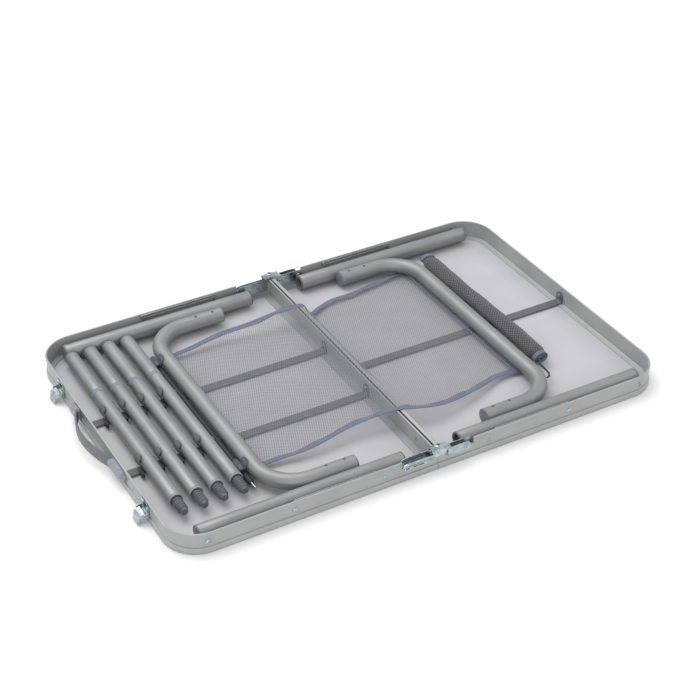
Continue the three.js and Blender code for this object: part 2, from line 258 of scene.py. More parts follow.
FINISH = {
    "rim": silver_powder_coat("silver_powder_coat_rim", "#a6a7a7", "#afb0b0", 0.4, 0.46),
    "tube": silver_powder_coat("silver_powder_coat_tube", "#909192", "#9a9b9c", 0.6, 0.47),
    "panel": laminate_board(),
    "bar": grey_enamel(),
    "zinc": zinc_plate(),
    "steel": bare_steel(),
    "dark_plastic": moulded_plastic("dark_polypropylene", "#55575b", "#636569"),
    "grey_plastic": moulded_plastic("grey_polypropylene", "#76777d", "#83848a"),
    "clip": moulded_plastic("clip_polypropylene", "#5f6163", "#6d6f71", 0.7),
    "collar": moulded_plastic("collar_polypropylene", "#87898c", "#939598"),
    "ring": moulded_plastic("ring_polypropylene", "#7a7c8b", "#858797"),
    "strap": moulded_plastic("strap_thermoplastic", "#606165", "#6d6e73", 0.5),
    "cover": moulded_plastic("cover_polypropylene", "#7d7e86", "#96979f", 0.45),
    "cap": moulded_plastic("cap_polypropylene", "#6d6e72", "#797a7e"),
    # Near-black: the own colour of the net's rubber sleeve and hook, and also painted shade where it fills
    # the seam gap, the gaps in front of the spring clips and the hinges' screw recesses and slots.
    "black_rubber": moulded_plastic("black_rubber", "#2a2a2d", "#343438", 0.6),
    "net": woven_net("polyester_net", "#77777e", "#8c8c93", 0.1),
    "net_roll": rolled_net(),
    "tape": binding_tape(),
}
SLOT = dict.fromkeys(("strap", "cover", "cap", "collar", "ring"), "grey_plastic")
SLOT.update(steel="zinc", clip="dark_plastic", black_rubber="dark_plastic", tape="net")


# ---------------------------------------------------------------- mesh building


def in_scene(name, data):
    """A new object with this data, linked into the scene."""
    thing = bpy.data.objects.new(name, data)
    bpy.context.scene.collection.objects.link(thing)
    return thing


def build(name, shells, finish, body, stands_for=None, smooth=40, bevel=0.0, uv=None, fix_normals=True):
    """Makes one piece from shells of (points in mm from the seam, faces), rides it on a body and hides the
    CAD node it stands for."""
    mesh = bpy.data.meshes.new(name)
    points, faces = [], []
    for shell_points, shell_faces in shells:
        base = len(points)
        points += [((p[0] + SEAM_X) * MM, p[1] * MM, p[2] * MM) for p in shell_points]
        faces += [[base + i for i in face] for face in shell_faces]
    mesh.from_pydata(points, [], faces)
    if uv:
        layer = mesh.uv_layers.new(name="cloth")
        for loop in mesh.loops:
            layer.data[loop.index].uv = uv[loop.vertex_index]
    if fix_normals:
        work = bmesh.new()
        work.from_mesh(mesh)
        bmesh.ops.remove_doubles(work, verts=work.verts, dist=1e-7)
        bmesh.ops.recalc_face_normals(work, faces=work.faces)
        work.to_mesh(mesh)
        work.free()
    mesh.shade_smooth()
    if smooth < 180:
        mesh.set_sharp_from_angle(angle=math.radians(smooth))
    piece = in_scene(name, mesh)
    piece.data.materials.append(FINISH[finish])
    if bevel:
        rounding = piece.modifiers.new("edges", "BEVEL")
        rounding.width = bevel * MM
        rounding.segments = 2
        rounding.limit_method = "ANGLE"
        rounding.angle_limit = math.radians(35)
    if body:
        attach(piece, body)
    if stands_for:
        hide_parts(stands_for)
    return piece


def skin(rings, close_path=False, caps=True):
    """Joins rings of equally many points into a shell."""
    count = len(rings[0])
    points = [p for ring in rings for p in ring]
    faces = []
    steps = len(rings) if close_path else len(rings) - 1
    for i in range(steps):
        a, b = i * count, ((i + 1) % len(rings)) * count
        for j in range(count):
            k = (j + 1) % count
            faces.append([a + j, a + k, b + k, b + j])
    if caps and not close_path:
        faces.append(list(range(count))[::-1])
        faces.append([(len(rings) - 1) * count + j for j in range(count)])
    return points, faces


def tangents(path, closed=False):
    """The direction of a path at each of its points."""
    result = []
    last = len(path) - 1
    for i, p in enumerate(path):
        before = path[i - 1] if i or closed else p
        after = path[(i + 1) % len(path)] if i < last or closed else p
        result.append((Vector(after) - Vector(before)).normalized())
    return result


def sweep(section, path, up=(0, 0, 1), closed=False):
    """Carries a closed section along a path. Section points are (across, up) from the path."""
    up = Vector(up)
    rings = []
    for p, along in zip(path, tangents(path, closed)):
        across = along.cross(up).normalized()
        lift = across.cross(along).normalized()
        rings.append([Vector(p) + across * s + lift * h for s, h in section])
    return skin(rings, close_path=closed)


def circle(radius, count=24):
    """Points round a circle, as pairs."""
    return [(radius * math.cos(2 * math.pi * i / count), radius * math.sin(2 * math.pi * i / count))
            for i in range(count)]


AXES = {
    "x": (Vector((1, 0, 0)), Vector((0, 1, 0))), "y": (Vector((0, 1, 0)), Vector((0, 0, 1))),
    "z": (Vector((0, 0, 1)), Vector((1, 0, 0))),
}


def turned(profile, centre, axis, count=40, direction=None):
    """A turned piece: profile is (radius, distance along the axis) from one end round to the other."""
    if direction is None:
        along, first = AXES[axis]
    else:
        along = Vector(direction).normalized()
        first = along.orthogonal().normalized()
    second = along.cross(first)
    rings = []
    for i in range(count):
        turn = 2 * math.pi * i / count
        out = first * math.cos(turn) + second * math.sin(turn)
        rings.append([Vector(centre) + out * r + along * s for r, s in profile])
    return skin(rings, close_path=True, caps=False)


def arc(centre, radius, start, stop, steps):
    """Points on an arc, as pairs, with angles in degrees."""
    return [(centre[0] + radius * math.cos(math.radians(start + (stop - start) * i / steps)),
             centre[1] + radius * math.sin(math.radians(start + (stop - start) * i / steps)))
            for i in range(steps + 1)]


def ribbon(path, half_widths, thickness, across):
    """A flat strip along a path: its width lies along across, and its ends taper as the widths say."""
    across = Vector(across).normalized()
    rings = []
    for p, along, half in zip(path, tangents(path), half_widths):
        out = across.cross(along).normalized() * (thickness / 2)
        side = across * half
        centre = Vector(p)
        rings.append([centre - side - out, centre + side - out, centre + side + out, centre - side + out])
    return skin(rings)


def along_path(path, step):
    """Resamples a polyline so that its points lie about step apart, keeping its corners."""
    result = [Vector(path[0])]
    for a, b in zip(path, path[1:]):
        a, b = Vector(a), Vector(b)
        count = max(1, round((b - a).length / step))
        result += [a.lerp(b, (i + 1) / count) for i in range(count)]
    return result


def round_ends(path, half_width, radius_start=None, radius_end=None):
    """Half widths that round off a strip's two ends."""
    lengths = [0.0]
    for a, b in zip(path, path[1:]):
        lengths.append(lengths[-1] + (Vector(b) - Vector(a)).length)
    total = lengths[-1]
    widths = []
    for s in lengths:
        half = half_width
        for distance, radius in ((s, radius_start), (total - s, radius_end)):
            if radius and distance < radius:
                inset = 1 - math.sqrt(max(0.0, 1 - (1 - distance / radius) ** 2))
                half = min(half, max(half_width - radius * inset, 0.25 * half_width * 0.4))
        widths.append(half)
    return widths


def strip(path, step, half_width, ends, thickness, across):
    """A flat strip along a path, in steps, with its two ends rounded by these radii."""
    path = along_path(path, step)
    return ribbon(path, round_ends(path, half_width, *ends), thickness, across)


def rounded_box(low, high, radius):
    """A box whose upright edges are rounded in plan."""
    corners = [(high[0] - radius, high[1] - radius, 0), (low[0] + radius, high[1] - radius, 90),
               (low[0] + radius, low[1] + radius, 180), (high[0] - radius, low[1] + radius, 270)]
    ring = [p for x, y, start in corners for p in arc((x, y), radius, start, start + 90, 3)]
    return skin([[(x, y, low[2]) for x, y in ring], [(x, y, high[2]) for x, y in ring]])


def rivet(centre, direction, radius=3.4, height=1.6, hollow=True):
    """A blind rivet's head: a low dome with the mandrel hole in its middle."""
    profile = [(0, -1.5), (radius * 0.9, -1.5), (radius, 0), (radius, 0.3)]
    profile += [(radius * math.cos(a), 0.3 + (height - 0.3) * math.sin(a)) for a in (0.4, 0.8, 1.15)]
    if hollow:
        hole = radius * 0.32
        profile += [(hole * 1.25, height), (hole, height - 0.3), (hole, height - 1.1), (0, height - 1.2)]
    else:
        profile += [(0, height)]
    return turned(profile, centre, None, 20, direction)


# ---------------------------------------------------------------- trays


CORNER_RADIUS = 55
HINGE_REACH = 62
HINGE_NOTCH_Z = 25


def rim_section():
    """The rim extrusion's outline: distance in from the outer face, and height."""
    return [
        (1.2, 0), (0.35, 0.4), (0, 1.2), (0, 9.2), (0.35, 10.2), (1.1, 10.6), (2.0, 10.8), (2.1, 11.5),
        (1.6, 12.0), (1.5, 12.8), (1.5, 33.2), (1.1, 33.8), (0.7, 34.4), (0.7, 35.2), (1.1, 35.75),
        (1.9, 35.95), (2.9, 35.9), (3.4, 35.5), (3.5, 34.8), (3.5, 7.4), (3.9, 6.2), (4.8, 5.7),
        (11.6, 5.7), (12.3, 5.4), (12.5, 5.0), (12.3, 4.6), (11.7, 4.5), (3.7, 4.5), (3.5, 4.2),
        (3.5, 1.1), (3.8, 0.9), (11.9, 0.9), (12.4, 0.7), (12.4, 0.3), (11.9, 0),
    ]


def rim(side_name):
    """The extrusion bent round three sides of a half, cut down where the hinges sit."""
    side = SIDES[side_name]
    low, high = span(f"{side_name}_rim")
    reach = max(abs(low.x), abs(high.x))
    half_depth = high.y
    start = min(abs(low.x), abs(high.x))
    stops = (start, HINGE_REACH - 0.01, HINGE_REACH, 140, 230, 300)
    cx, cy = reach - CORNER_RADIUS, half_depth - CORNER_RADIUS
    plan = [(x, -half_depth, 0, -1) for x in stops]
    plan += [(cx + ox * CORNER_RADIUS, oy * CORNER_RADIUS - cy, ox, oy) for ox,
             oy in arc((0, 0), 1, -90, 0, 14)]
    plan += [(reach, y, 1, 0) for y in (-90, 0, 90)]
    plan += [(cx + ox * CORNER_RADIUS, oy * CORNER_RADIUS + cy, ox, oy) for ox,
             oy in arc((0, 0), 1, 0, 90, 14)]
    plan += [(x, half_depth, 0, 1) for x in reversed(stops)]
    rings = []
    for x, y, ox, oy in plan:
        ceiling = HINGE_NOTCH_Z if x < HINGE_REACH else math.inf
        rings.append([(side * (x - ox * inset), y - oy * inset, min(height, ceiling)) for inset,
                      height in rim_section()])
    build(f"{side_name}_rim_extrusion", [skin(rings)], "rim", f"{side_name}_half", f"{side_name}_rim")


def centre_rail(side_name):
    """The rail along the seam, its rivets, and a near-black strip in the gap between the two rails that
    paints the shade of the seam.
    """
    side = SIDES[side_name]
    low, high = span(f"{side_name}_centre_rail")
    top = high.z
    near = min(abs(low.x), abs(high.x)) + 1.1
    flange = {"left": 3.0, "right": 5.5}[side_name]
    section = [
        (near, 0), (near + 13.0, 0), (near + 13.0, 0.9), (near + 1.3, 0.9), (near + 1.3, 4.5),
        (near + 13.0, 4.5), (near + 13.0, 5.7), (near + 1.3, 5.7), (near + 1.3, top - 1.6),
        (near + flange - 1.0, top - 1.6), (near + flange - 0.2, top - 1.2), (near + flange, top - 0.5),
        (near + flange - 0.6, top),
        (near + 0.9, top), (near + 0.3, top - 0.3), (near, top - 0.9),
    ]
    stations = [low.y] + [low.y + (high.y - low.y) * i / 8 for i in range(1, 8)] + [high.y]
    rings = [[(side * x, y, z) for x, z in section] for y in stations]
    build(f"{side_name}_centre_rail_extrusion", [skin(rings)], "rim", f"{side_name}_half",
          f"{side_name}_centre_rail", bevel=0.15)
    if side > 0:
        # Painted shade: a near-black strip in the seam gap darkens it where shade falls between the rails.
        gap_shade = rounded_box((-1.0, low.y + 8, 8), (near - 0.1, high.y - 8, top - 0.9), 0.2)
        build("seam_painted_shade_strip", [gap_shade], "black_rubber", "right_half")
    heads = [rivet((side * (near + 1.6), end * 216, 19), (side, 0, 0), 2.6, 1.0) for end in (-1, 1)]
    build(f"{side_name}_rail_rivets", heads, "steel", f"{side_name}_half")


def bar(name, body):
    """A flat bar with round-nosed ends turned up and riveted to the rim and the centre rail."""
    low, high = span(name)
    side = -1 if high.x < 0 else 1
    inner, outer = (high.x, low.x) if side < 0 else (low.x, high.x)
    y = (low.y + high.y) / 2
    half = (high.y - low.y) / 2
    floor = low.z + 1
    top = high.z
    bend = 4
    path = [(inner + side, y, top)]
    path += [(inner + side, y, floor + bend + 3)]
    path += [(inner + side * (1 + bend) + side * bend * px, y, floor + bend + bend * pz)
             for px, pz in arc((0, 0), 1, 180, 270, 5)]
    path += [(outer - side * (1 + bend) + side * bend * px, y, floor + bend + bend * pz)
             for px, pz in arc((0, 0), 1, 270, 360, 5)]
    path += [(outer - side, y, top)]
    band = strip(path, 2.2, half, (half, half), 1.8, (0, 1, 0))
    build(f"{name}_strip", [band], "bar", body, name, bevel=0.35)
    heads = [rivet((inner + side * 2, y, top - 7), (side, 0, 0)),
             rivet((outer - side * 2, y, top - 7), (-side, 0, 0))]
    build(f"{name}_rivets", heads, "steel", body)


def spring_clips(strip_name):
    """The spring clips of one row: a C-shaped band round each extension leg with one round-nosed ear, and a
    near-black block in front of each clip that paints the shade in the gap.
    """
    low, high = span(strip_name)
    y = (low.y + high.y) / 2
    shells, shade_blocks = [], []
    for index in range(4):
        tube_low, tube_high = span(f"extension_leg_{index + 1}_tube")
        x, z = (tube_low.x + tube_high.x) / 2, (tube_low.z + tube_high.z) / 2
        radius = (tube_high.x - tube_low.x) / 2 + 1.2
        ring = arc((x, z), radius, 172, 372, 24)
        path = [(px, y, pz) for px, pz in ring]
        shells.append(strip(path, 1.6, 6.5, (None, 6.5), 1.6, (0, 1, 0)))
        ear = [(px, y + 6, pz) for px, pz in arc((x, z), radius + 1.2, 128, 196, 12)]
        shells.append(strip(ear, 1.2, 8.5, (6.5, 4), 1.8, (0, 1, 0)))
        shells.append(rounded_box((x - 7, y - 6.5, 6.8), (x + 7, y + 6.5, 9.2), 2))
        # Painted shade: a near-black block in the gap in front of each clip, where shade falls.
        shade_block_x = x - radius - 2.6
        shade_blocks.append(rounded_box((shade_block_x - 2.2, y - 21, 8.3), (shade_block_x + 2.4, y - 9.5, 15), 1.2))
    build(f"{strip_name}_bands", shells, "clip", "left_half", strip_name, bevel=0.3)
    build(f"{strip_name}_gap_shade_fill", shade_blocks, "black_rubber", "left_half", bevel=0.4)


def rim_rivets(side_name):
    """Rivets through the long walls at the leg pivots and stay pivots, and along the short wall."""
    side = SIDES[side_name]
    shells = []
    for end in (-1, 1):
        wall = end * 273.5
        for joint in ("legs_fold", f"stay_lower_{'front' if end < 0 else 'back'}_pivot"):
            place = joint_place(f"{side_name}_{joint}")
            x, z = place[0] / MM - SEAM_X, place[2] / MM
            if abs(x) > 365:
                y = end * (220 + math.sqrt(53.5 ** 2 - (abs(x) - 365) ** 2))
            else:
                y = wall
            shells.append(rivet((x, y, z), (0, end, 0), 4.2, 1.8))
        shells.append(rivet((side * 90, wall, 20), (0, end, 0), 3.0, 1.3))
        shells.append(rivet((side * 418.5, end * 118, 20), (side, 0, 0), 3.0, 1.4))
    build(f"{side_name}_rim_rivets", shells, "zinc", f"{side_name}_half")


# ---------------------------------------------------------------- leg frames


def open_tube(name, body, centre, axis, start, stop, radius, wall):
    """A tube with rounded lips, open at both ends."""
    bore = radius - wall
    profile = [(bore + 0.3, start), (radius - 0.5, start), (radius - 0.15, start + 0.15),
               (radius, start + 0.5)]
    profile += [(radius, start + (stop - start) * i / 6) for i in range(1, 6)]
    profile += [(radius, stop - 0.5), (radius - 0.15, stop - 0.15), (radius - 0.5, stop),
                (bore + 0.3, stop),
                (bore, stop - 0.3), (bore, start + 0.3)]
    return build(name, [turned(profile, centre, axis, 48)], "tube", body)


def end_cap(centre, axis, start, stop, radius):
    """A plastic cap: a thin flange over the tube's end with a softly domed face; start is the tube's end."""
    way = 1 if stop > start else -1
    profile = [(0, start - way * 6), (radius - 1.5, start - way * 6), (radius - 1.5, start),
               (radius, start),
               (radius, start + way * 1.6), (radius - 0.6, stop - way * 0.3), (radius - 1.6, stop),
               (0, stop + way * 0.1)]
    return turned(profile, centre, axis, 40)


def leg_tube(side_name, end_name):
    """One straight leg tube with its cap, its pivot boss and its threaded socket."""
    side, end = SIDES[side_name], ENDS[end_name]
    node_name = f"{side_name}_leg_tube_{end_name}"
    body = f"{side_name}_leg_frame"
    low, high = span(node_name)
    z = (low.z + high.z) / 2
    radius = (high.z - low.z) / 2
    y = end * (min(abs(low.y), abs(high.y)) + radius)
    inner, outer = sorted((abs(low.x), abs(high.x)))
    start, stop = sorted((side * inner, side * (outer - 2)))
    tube = open_tube(f"{node_name}_shell", body, (0, y, z), "x", start, stop, radius, 1.2)
    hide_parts(node_name)
    cap = end_cap((0, y, z), "x", side * (outer - 2), side * (outer + 0.6), radius)
    boss = turned([(0, 0), (5, 0), (5, 8.5), (0, 8.5)], (side * 372, end * 261.5, z), None, 24, (0, end, 0))
    build(f"{node_name}_cap", [cap, boss], "cap", body)
    socket(side_name, end_name, y, z, body)


def socket(side_name, end_name, y, z, body):
    """The threaded insert in the tube's open end, and the collar that finishes it."""
    side = SIDES[side_name]
    node_name = f"{side_name}_leg_socket_{end_name}"
    low, high = span(node_name)
    mouth, deep = sorted((abs(low.x), abs(high.x)))
    tube_low, tube_high = span(f"{side_name}_leg_tube_{end_name}")
    tube_end = min(abs(tube_low.x), abs(tube_high.x))
    outer = (tube_high.z - tube_low.z) / 2
    pitch = 4.0
    profile = [(10.8, tube_end + 0.5), (10.8, mouth + 0.8), (9.4, mouth + 0.6)]
    depth = mouth + 1.5
    while depth + pitch < deep:
        profile += [(8.9, depth), (10.2, depth + pitch / 2), (8.9, depth + pitch * 0.98)]
        depth += pitch
    profile += [(9.0, deep), (0, deep), (0, deep + 0.6), (10.8, deep + 0.6)]
    profile = [(r, side * s) for r, s in profile]
    build(f"{node_name}_insert", [turned(profile, (0, y, z), "x", 40)], "dark_plastic", body, node_name)
    ring = [(9.6, mouth + 0.4), (10.0, mouth), (outer - 0.7, mouth), (outer - 0.1, mouth + 0.6),
            (outer - 0.1, tube_end - 0.5),
            (outer - 0.6, tube_end - 0.1), (9.6, tube_end - 0.1)]
    ring = [(r, side * s) for r, s in ring]
    build(f"{node_name}_collar", [turned(ring, (0, y, z), "x", 40)], "clip", body)


CROSSBAR_BEND = 60


def crossbar(side_name):
    """The bent tube that joins a frame's two legs, with capped ends and its rivets."""
    side = SIDES[side_name]
    node_name = f"{side_name}_leg_crossbar"
    body = f"{side_name}_leg_frame"
    low, high = span(node_name)
    z = (low.z + high.z) / 2
    radius = (high.z - low.z) / 2
    arm_y = high.y - radius
    arm_end, outer = sorted((abs(low.x), abs(high.x)))
    bar_x = outer - radius
    bend_x, bend_y = bar_x - CROSSBAR_BEND, arm_y - CROSSBAR_BEND
    path = [(arm_end, -arm_y), (arm_end + 20, -arm_y), (bend_x - 10, -arm_y)]
    path += arc((bend_x, -bend_y), CROSSBAR_BEND, -90, 0, 18)
    path += [(bar_x, y) for y in (-110, -40, 40, 110)]
    path += arc((bend_x, bend_y), CROSSBAR_BEND, 0, 90, 18)
    path += [(bend_x - 10, arm_y), (arm_end + 20, arm_y), (arm_end, arm_y)]
    tube = sweep(circle(radius, 40), [(side * x, y, z) for x, y in path])
    caps = []
    rivets = []
    for end in (-1, 1):
        caps.append(end_cap((0, end * arm_y, z), "x", side * arm_end, side * (arm_end - 2.4), radius + 0.1))
        for x in (arm_end + 16, arm_end + 46):
            rivets.append(rivet((side * x, end * (arm_y - 2), z + radius - 0.3), (0, -end * 0.15, 1), 2.4,
                                0.9))
    build(f"{node_name}_tube", [tube], "tube", body, node_name)
    build(f"{node_name}_caps", caps, "cap", body)
    build(f"{node_name}_rivets", rivets, "dark_plastic", body)


# ---------------------------------------------------------------- extension legs


def extension_leg(index):
    """A spare leg length: tube, ring, thin sleeve, screw plug with its collar, and foot cap."""
    name = f"extension_leg_{index}"
    low, high = span(f"{name}_tube")
    foot_high = span(f"{name}_foot")[1]
    x, z = (low.x + high.x) / 2, (low.z + high.z) / 2
    radius = (high.x - low.x) / 2
    tube = open_tube(f"{name}_shell", name, (x, 0, z), "y", low.y + 3.6, high.y, radius, 1.2)
    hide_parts(f"{name}_tube")

    ring_y = low.y + (high.y - low.y) * 0.72
    band = [(radius - 0.3, ring_y - 3.4), (radius + 0.2, ring_y - 3.4), (radius + 0.6, ring_y - 2.9),
            (radius + 0.75, ring_y), (radius + 0.6, ring_y + 2.9), (radius + 0.2, ring_y + 3.4),
            (radius - 0.3, ring_y + 3.4)]
    build(f"{name}_ring", [turned(band, (x, 0, z), "y", 40)], "ring", name)
    open_tube(f"{name}_sleeve", name, (x, 0, z), "y", ring_y + 3.4, foot_high.y - 3, radius + 0.55, 0.5)

    tip = span(f"{name}_plug")[0].y
    shoulder = low.y
    pitch = 4.4
    profile = [(0, tip), (4.6, tip), (5.4, tip + 0.8), (5.4, tip + 5), (7.0, tip + 6.5)]
    y = tip + 6.5
    while y + pitch < shoulder - 1:
        profile += [(6.6, y + 0.2), (7.9, y + 1.0), (7.9, y + pitch - 1.2), (6.6, y + pitch - 0.6)]
        y += pitch
    profile += [(7.2, shoulder + 1.2), (radius - 1.5, shoulder + 1.4), (radius - 1.5, shoulder + 12),
                (0, shoulder + 12)]
    build(f"{name}_screw_plug", [turned(profile, (x, 0, z), "y", 40)], "dark_plastic", name, f"{name}_plug")
    collar = [(radius - 2.2, shoulder + 1.4), (radius - 1.9, shoulder + 0.2),
              (radius - 1.1, shoulder - 0.3), (radius - 0.2, shoulder),
              (radius + 0.15, shoulder + 0.8), (radius + 0.15, shoulder + 2.8),
              (radius - 2.2, shoulder + 2.8)]
    build(f"{name}_collar", [turned(collar, (x, 0, z), "y", 40)], "collar", name)

    stop = foot_high.y
    edge = radius + 0.9
    profile = [(radius - 1.5, stop - 12), (radius - 0.2, stop - 12), (radius - 0.2, stop - 3),
               (edge - 0.3, stop - 3), (edge, stop - 2.6),
               (edge, stop - 1.2), (edge - 0.5, stop - 0.4), (edge - 1.4, stop), (0, stop), (0, stop - 2),
               (radius - 1.5, stop - 2)]
    build(f"{name}_foot_cap", [turned(profile, (x, 0, z), "y", 40)], "dark_plastic", name, f"{name}_foot")


# ---------------------------------------------------------------- stays, hinges, handle, latches


def stay_link(side_name, end_name, level):
    """One wire link of a stay. The lower one is a long closed loop that stands above its two eyes."""
    name = f"{side_name}_stay_{level}_{end_name}"
    low, high = span(name)
    y, z = (low.y + high.y) / 2, (low.z + high.z) / 2
    first, last = low.x + 4, high.x - 4
    thin = 1.25 if level == "lower" else 1.5
    eye = [(1.6, -thin + 0.2), (3.9, -thin + 0.2), (4.2, 0), (3.9, thin - 0.2), (1.6, thin - 0.2)]
    shells = [turned(eye, (x, y, z), "y", 24) for x in (first, last)]
    shells += [turned([(0, -1.5), (1.6, -1.5), (1.6, 1.5), (0, 1.5)], (x, y, z), "y", 16) for x in (first,
                                                                                                    last)]
    if level == "lower":
        loop_low, loop_high, bend = z + 8.6, z + 13.8, 2.6
        middle_z = (loop_low + loop_high) / 2
        loop = [(last - bend + px, middle_z + pz) for px, pz in arc((0, 0), bend, -90, 90, 8)]
        loop += [(first + bend + px, middle_z + pz) for px, pz in arc((0, 0), bend, 90, 270, 8)]
        shells.append(sweep(circle(thin, 12), [(px, y, pz) for px, pz in loop], up=(0, 1, 0), closed=True))
        for x, way in ((first, 1), (last, -1)):
            rise = [(x, z + 2), (x + way * 0.8, z + 5), (x + way * 4, loop_low)]
            shells.append(sweep(circle(thin, 12), [(px, y, pz) for px, pz in rise], up=(0, 1, 0)))
    else:
        shells.append(sweep(circle(thin, 14), [(first + 3, y, z), (first + 8, y, z), (last - 8, y, z),
                                               (last - 3, y, z)]))
    build(f"{name}_wire", shells, "steel", name, name)


def hinge(end_name):
    """A centre hinge: an upturned channel on the left wall, a round hood over the pin and a right leaf."""
    end = ENDS[end_name]
    outer, inner = 276.4, 265.8
    mid = (outer + inner) / 2
    pin_z = joint_place("fold")[2] / MM

    section = [(inner, 35.2), (inner, 25.4), (outer, 25.4), (outer, 31.6), (outer - 1.2, 31.6),
               (outer - 1.2, 26.6), (inner + 1.2, 26.6), (inner + 1.2, 35.2)]
    rings = []
    for x, lower in ((-HINGE_REACH + 0.5, 4.5), (-HINGE_REACH + 4, 1), (-HINGE_REACH + 10, 0), (-30, 0),
                     (-9, 0)):
        rings.append([(x, end * y, z - min(lower, z - 27.2) if z > 28 else z) for y, z in section])
    channel = skin(rings)
    leaf_line = [(-HINGE_REACH, end * 268.4, 21), (-6, end * 268.4, 21)]
    left_leaf = strip(leaf_line, 3, 9, (7, None), 1.3, (0, 0, 1))
    skirt_line = [(-HINGE_REACH + 2, end * (outer + 0.1), 23.6),
                  (-12, end * (outer + 0.1), 23.6)]
    skirt = strip(skirt_line, 3, 2.6, (2.6, None), 1.2, (0, 0, 1))
    rivets = [rivet((-47, end * mid, 26.6), (0, 0, 1), 3.4, 1.6),
              rivet((-21, end * mid, 26.6), (0, 0, 1), 3.4, 1.6),
              rivet((-50, end * (inner + 2.0), 21), (0, -end, 0), 3.0, 1.2)]
    build(f"hinge_{end_name}_channel", [channel, left_leaf, skirt] + rivets, "zinc", "left_half",
          f"left_hinge_leaf_{end_name}", bevel=0.2)
    # Painted shade: near-black slots on the skirt stand for the shade inside its holes.
    slot_shades = [rounded_box((x, min(end * (outer + 0.4), end * (outer + 0.85)), 23.0),
                         (x + length, max(end * (outer + 0.4), end * (outer + 0.85)), 24.6), 0.2)
             for x, length in ((-57, 6), (-44, 18))]

    steps = range(0, 181, 12)
    dome = [(0, end * (mid + 5.6 * math.cos(math.radians(a))),
             pin_z + 5.4 * math.sin(math.radians(a))) for a in steps]
    hood_path = along_path([(0, end * (outer + 0.5), 27)] + dome + [(0, end * inner, 29)], 1.4)
    last = len(hood_path) - 1
    hood_widths = [9.5 + 5.0 * max(0.0, math.sin(math.pi * i / last)) ** 0.8 for i in range(last + 1)]
    hood = ribbon([(p.x + 1.5, p.y, p.z) for p in hood_path], hood_widths, 1.3, (1, 0, 0))
    knuckle = turned([(0, -6.6), (4.2, -6.6), (5.0, -5.8), (5.0, 5.8), (4.2, 6.6), (0, 6.6)],
                     (0, end * mid, pin_z - 1), "y", 32)
    screw_head = [(0, 0.1), (4.6, 0.1), (4.8, 0.6), (3.8, 1.3), (0, 1.7)]
    screw = turned(screw_head, (1, end * mid, pin_z + 5.7), "z", 24)
    build(f"hinge_{end_name}_hood", [hood, knuckle, screw], "zinc", "left_half", bevel=0.2)
    # Painted shade: a near-black cross on the screw head stands for the shade in its recess.
    cross = [rounded_box((1 - a, end * mid - b, pin_z + 7.0), (1 + a, end * mid + b, pin_z + 7.65), 0.2)
             for a, b in ((3.0, 0.55), (0.55, 3.0))]
    build(f"hinge_{end_name}_recess_shades", cross + slot_shades, "black_rubber", "left_half")

    plate_line = [(15.4, end * outer, 27.4), (55, end * outer, 27.4)]
    inside_line = [(15.2, end * (inner + 1.6), 25.5), (62, end * (inner + 1.6), 25.5)]
    shells = [strip(plate_line, 2.2, 7.2, (None, 6), 1.4, (0, 0, 1)),
              strip(inside_line, 2.5, 9.4, (None, 7), 1.3, (0, 0, 1))]
    shells += [rivet((47, end * (outer + 0.6), 27.4), (0, end, 0), 4.0, 1.5),
               rivet((54, end * (inner + 1.0), 25.5), (0, -end, 0), 3.4, 1.4),
               rivet((20, end * (inner + 1.0), 25.5), (0, -end, 0), 3.0, 1.2)]
    shells.append(ribbon([(18, end * outer, 31), (18, end * outer, 34.6), (18, end * mid, 36.3),
                          (18, end * (inner + 1.6), 34.6),
                          (18, end * (inner + 1.6), 31)], [3] * 5, 1.2, (1, 0, 0)))
    build(f"hinge_{end_name}_leaf", shells, "zinc", "right_half", f"right_hinge_leaf_{end_name}", bevel=0.2)


def handle():
    """The carrying strap with grooves along it, and its two end covers."""
    low, high = span("handle_strap")
    half_height = (high.z - low.z) / 2 + 1.2
    z = (low.z + high.z) / 2
    root_x, bow = high.x - 1.6, high.x - low.x - 3.2
    grip_y = low.y + 0.62 * (high.y - low.y)
    section = [(-1.7, 1 - half_height), (-1.2, -half_height), (1.2, -half_height), (1.7, 1 - half_height)]
    for groove in (-0.28, 0.28):
        at = groove * 2 * half_height
        section += [(1.7, at - 1.4), (0.9, at - 0.6), (0.9, at + 0.6), (1.7, at + 1.4)]
    section += [(1.7, half_height - 1), (1.2, half_height), (-1.2, half_height), (-1.7, half_height - 1)]
    path = []
    for i in range(41):
        t = i / 40
        y = (1 - t) ** 2 * (low.y - 5) + 2 * t * (1 - t) * grip_y + t ** 2 * (high.y + 5)
        path.append((root_x - bow * 4 * t * (1 - t), y, z))
    build("handle_strap_moulding", [sweep(section, path)], "strap", "left_half", "handle_strap", smooth=50)
    for end_name, end in ENDS.items():
        low, high = span(f"handle_cover_{end_name}")
        near, far = (high.y, low.y) if end < 0 else (low.y, high.y)
        mid = (low.z + high.z) / 2
        rings = []
        for t in range(17):
            s = t / 16
            taper = (2 * s - 0.82) ** 4 if s > 0.41 else (0.9 * (1 - 2 * s)) ** 6
            swell = math.sqrt(max(0.03, 1 - taper))
            depth = (high.x - low.x) * (0.35 + 0.85 * swell)
            tall = (high.z - low.z) / 2 * (0.35 + 0.67 * swell)
            ring = [(high.x, near + (far - near) * s, mid - tall)]
            ring += [(high.x - depth * px, near + (far - near) * s, mid + tall * pz) for px,
                     pz in arc((0, 0), 1, -84, 84, 12)]
            ring += [(high.x, near + (far - near) * s, mid + tall)]
            rings.append(ring)
        build(f"handle_cover_{end_name}_moulding", [skin(rings)], "cover", "left_half",
              f"handle_cover_{end_name}", smooth=50)
        bolt = rivet((low.x - 0.1, near + end * 6, mid + 3), (-1, 0, 0), 3.2, 1.2, False)
        build(f"handle_bolt_{end_name}", [bolt], "zinc", "left_half")


